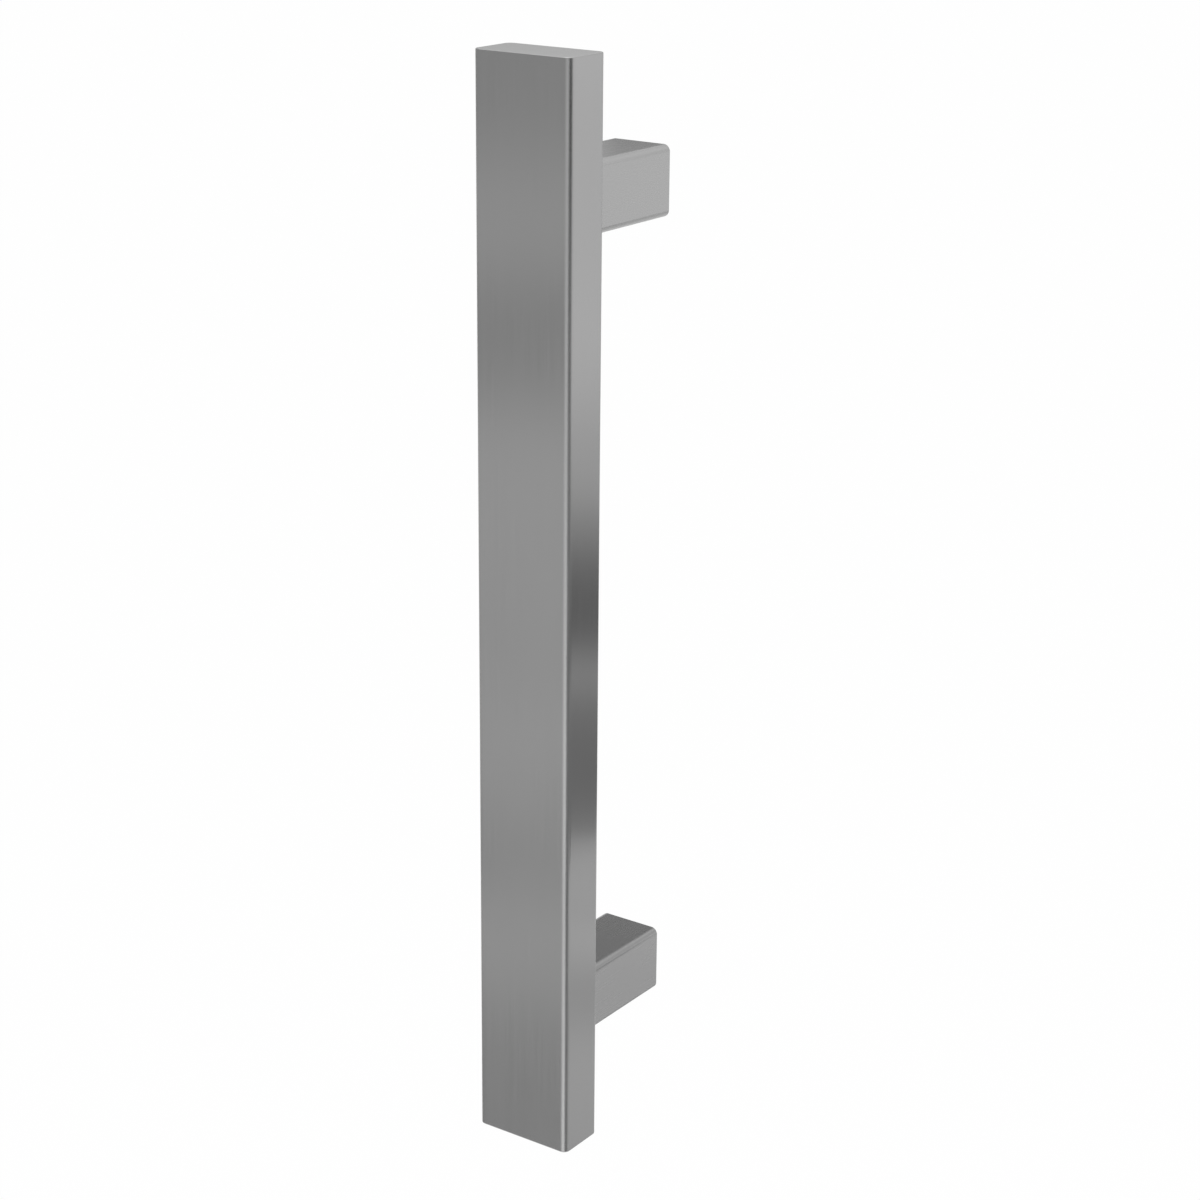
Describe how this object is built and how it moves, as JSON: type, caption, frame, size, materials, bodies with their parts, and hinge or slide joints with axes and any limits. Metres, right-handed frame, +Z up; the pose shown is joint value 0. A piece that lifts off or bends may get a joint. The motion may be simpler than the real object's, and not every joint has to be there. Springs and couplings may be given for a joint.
{
  "type": "sliding patio door handle",
  "caption": "Upright flat-bar pull handle for a sliding patio door, in satin stainless steel, held off the door by square posts with concealed fixings.",
  "frame": {"origin": "on the door's face, midway between the two fixings", "axes": "+X to the right seen from the front, +Y into the door along the fixing bolts, +Z up along the bar"},
  "size_m": [0.04, 0.07, 0.4],
  "materials": {
    "bar_steel": "satin, brushed along the bar",
    "cap_steel": "satin, brushed across the bar's end",
    "post_steel": "satin, brushed along the post",
    "block_steel": "milled, fine tool marks",
    "fastener_steel": "plain stainless fastener"
  },
  "bodies": {
    "root": {"grip_bar": "bar_steel", "upper_end_cap": "cap_steel", "lower_end_cap": "cap_steel", "upper_post": "post_steel", "lower_post": "post_steel", "upper_post_plug": "block_steel", "lower_post_plug": "block_steel", "upper_nut_plate": "block_steel", "lower_nut_plate": "block_steel", "upper_door_spigot": "block_steel", "lower_door_spigot": "block_steel", "joint_screws": "fastener_steel", "spring_washers": "fastener_steel", "grub_screws": "fastener_steel"}
  },
  "joints": []
}
